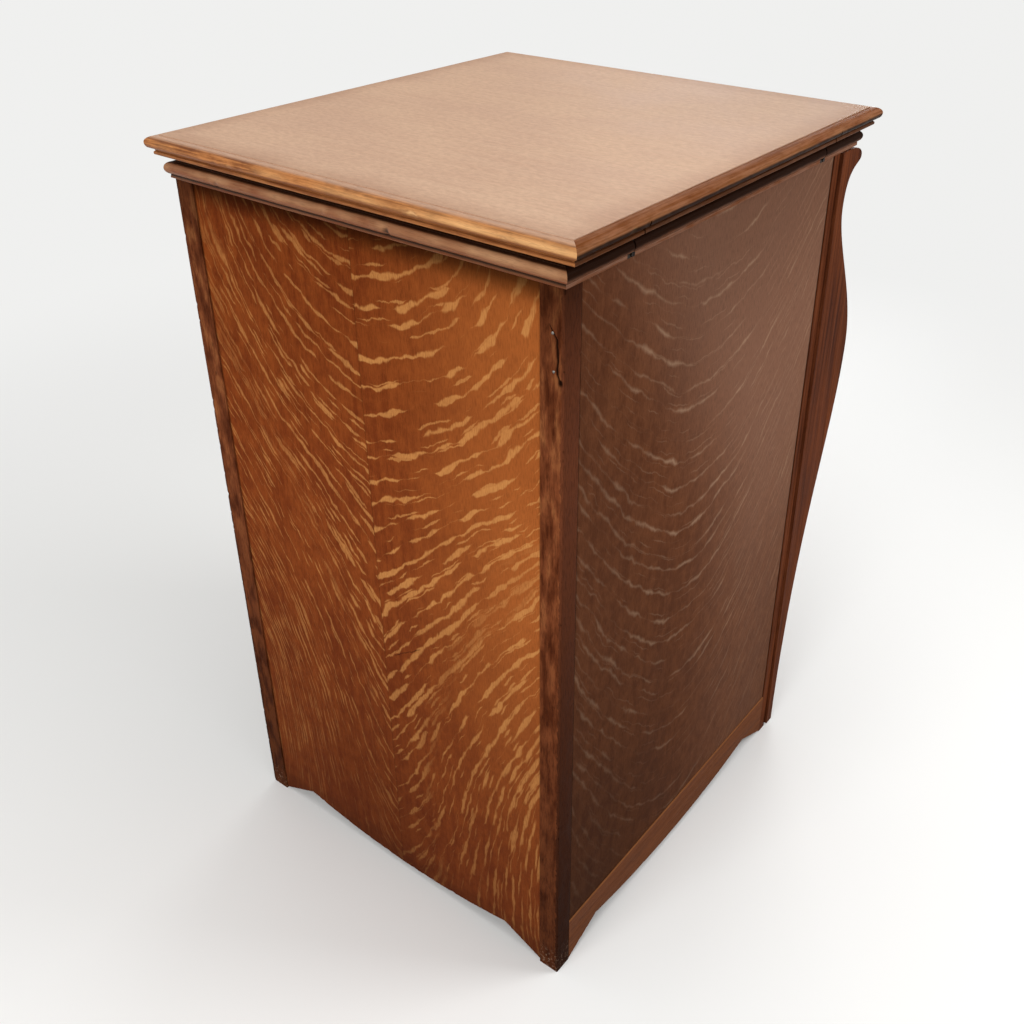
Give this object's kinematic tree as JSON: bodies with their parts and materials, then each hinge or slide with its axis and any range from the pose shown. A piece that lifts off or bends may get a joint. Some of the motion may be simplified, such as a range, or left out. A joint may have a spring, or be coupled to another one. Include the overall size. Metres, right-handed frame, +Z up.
{
  "type": "treadle sewing table",
  "caption": "Closed oak treadle sewing cabinet with a fold-over moulded lid, serpentine front door, scalloped base, and a treadle, pitman and band wheel inside.",
  "frame": {"origin": "on the floor, under the centre of the whole table's box", "axes": "+Z up, -Y the front where the sewer sits, +X the sewer's right"},
  "size_m": [0.463, 0.531, 0.772],
  "materials": {
    "oak_veneer": "varnished quarter-sawn oak veneer, satin",
    "oak_frame": "dark varnished oak, worn along the edges",
    "oak_moulding": "varnished oak, satin",
    "oak_lid_edge": "varnished oak, worn bright on the round",
    "oak_lid": "bleached, dry matte oak",
    "oak_bed": "varnished oak, satin",
    "pitman_wood": "turned hardwood, oiled",
    "aged_brass": "tarnished brass",
    "hinge_steel": "dull steel, oily",
    "black_iron": "black japanned cast iron, semi-gloss"
  },
  "bodies": {
    "cabinet": {"back_panel": "oak_veneer", "bed_board": "oak_bed", "bed_moulding_back": "oak_moulding", "bed_moulding_front": "oak_moulding", "bed_moulding_left": "oak_moulding", "bed_moulding_right": "oak_moulding", "door_hinge_pins": "aged_brass", "door_hinge_post_leaves": "aged_brass", "front_rail": "oak_frame", "head_hinge_pivots": "hinge_steel", "head_hinge_plates": "hinge_steel", "latch_strike": "aged_brass", "lid_hinge_bed_pins": "hinge_steel", "lid_hinge_bed_plates": "hinge_steel", "post_front_left": "oak_frame", "post_front_right": "oak_frame", "post_rear_left": "oak_frame", "post_rear_right": "oak_frame", "side_panel_left": "oak_veneer", "side_panel_right": "oak_veneer", "side_rail_left": "oak_frame", "side_rail_right": "oak_frame", "stud_collar": "black_iron", "treadle_bracket_left": "black_iron", "treadle_bracket_right": "black_iron", "treadle_rod": "hinge_steel", "wheel_bracket": "black_iron", "wheel_stud": "hinge_steel"},
    "lid_links": {"lid_hinge_links": "hinge_steel"},
    "lid": {"lid_panel": "oak_lid", "lid_edge_left": "oak_lid_edge", "lid_edge_right": "oak_lid_edge", "lid_edge_front": "oak_lid_edge", "lid_edge_back": "oak_lid_edge", "lid_hinge_lid_plates": "hinge_steel", "lid_hinge_lid_pins": "hinge_steel"},
    "door": {"door_stile_left": "oak_frame", "door_stile_right": "oak_frame", "door_top_rail": "oak_frame", "door_bottom_rail": "oak_frame", "door_panel": "oak_veneer", "door_hinge_door_leaves": "aged_brass", "knob_rosette": "aged_brass"},
    "latch": {"door_knob": "aged_brass", "latch_spindle": "hinge_steel", "latch_arm": "hinge_steel"},
    "treadle": {"treadle_plate": "black_iron"},
    "pitman": {"pitman_rod": "pitman_wood", "pitman_lower_end": "black_iron", "pitman_upper_end": "black_iron", "pitman_lower_pin": "hinge_steel", "crank_pin": "hinge_steel"},
    "band_wheel": {"band_wheel": "black_iron"},
    "head_hinge": {"head_hinge_leaves": "hinge_steel"}
  },
  "joints": [
    {"name": "lid_link_swing", "type": "hinge", "parent": "cabinet", "child": "lid_links", "pos_m": [-0.2135, 0, 0.7384], "axis": [0, -1, 0], "range_deg": [0, 90]},
    {"name": "lid_turn", "type": "hinge", "parent": "lid_links", "child": "lid", "pos_m": [-0.2135, 0, 0.7623], "axis": [0, -1, 0], "range_deg": [0, 90]},
    {"name": "door_swing", "type": "hinge", "parent": "cabinet", "child": "door", "pos_m": [0.2208, -0.1898, 0.35], "axis": [0, 0, 1], "range_deg": [0, 170]},
    {"name": "catch_turn", "type": "hinge", "parent": "door", "child": "latch", "pos_m": [-0.184, -0.19, 0.676], "axis": [0, 1, 0], "range_deg": [0, 90]},
    {"name": "treadle_rock", "type": "hinge", "parent": "cabinet", "child": "treadle", "pos_m": [0, -0.04, 0.066], "axis": [1, 0, 0], "range_deg": [-14, 14]},
    {"name": "pitman_rock", "type": "hinge", "parent": "treadle", "child": "pitman", "pos_m": [0.11, 0.08, 0.066], "axis": [1, 0, 0], "range_deg": [-14, 14]},
    {"name": "wheel_spin", "type": "hinge", "parent": "cabinet", "child": "band_wheel", "pos_m": [0.147, 0.051, 0.29], "axis": [1, 0, 0], "continuous": true},
    {"name": "head_hinge_swing", "type": "hinge", "parent": "cabinet", "child": "head_hinge", "pos_m": [-0.028, 0.066, 0.7412], "axis": [-1, 0, 0], "range_deg": [0, 90]}
  ],
  "couplings": [
    {"joint": "lid_link_swing", "follows": "lid_turn", "ratio": 1},
    {"joint": "pitman_rock", "follows": "treadle_rock", "ratio": -1}
  ]
}
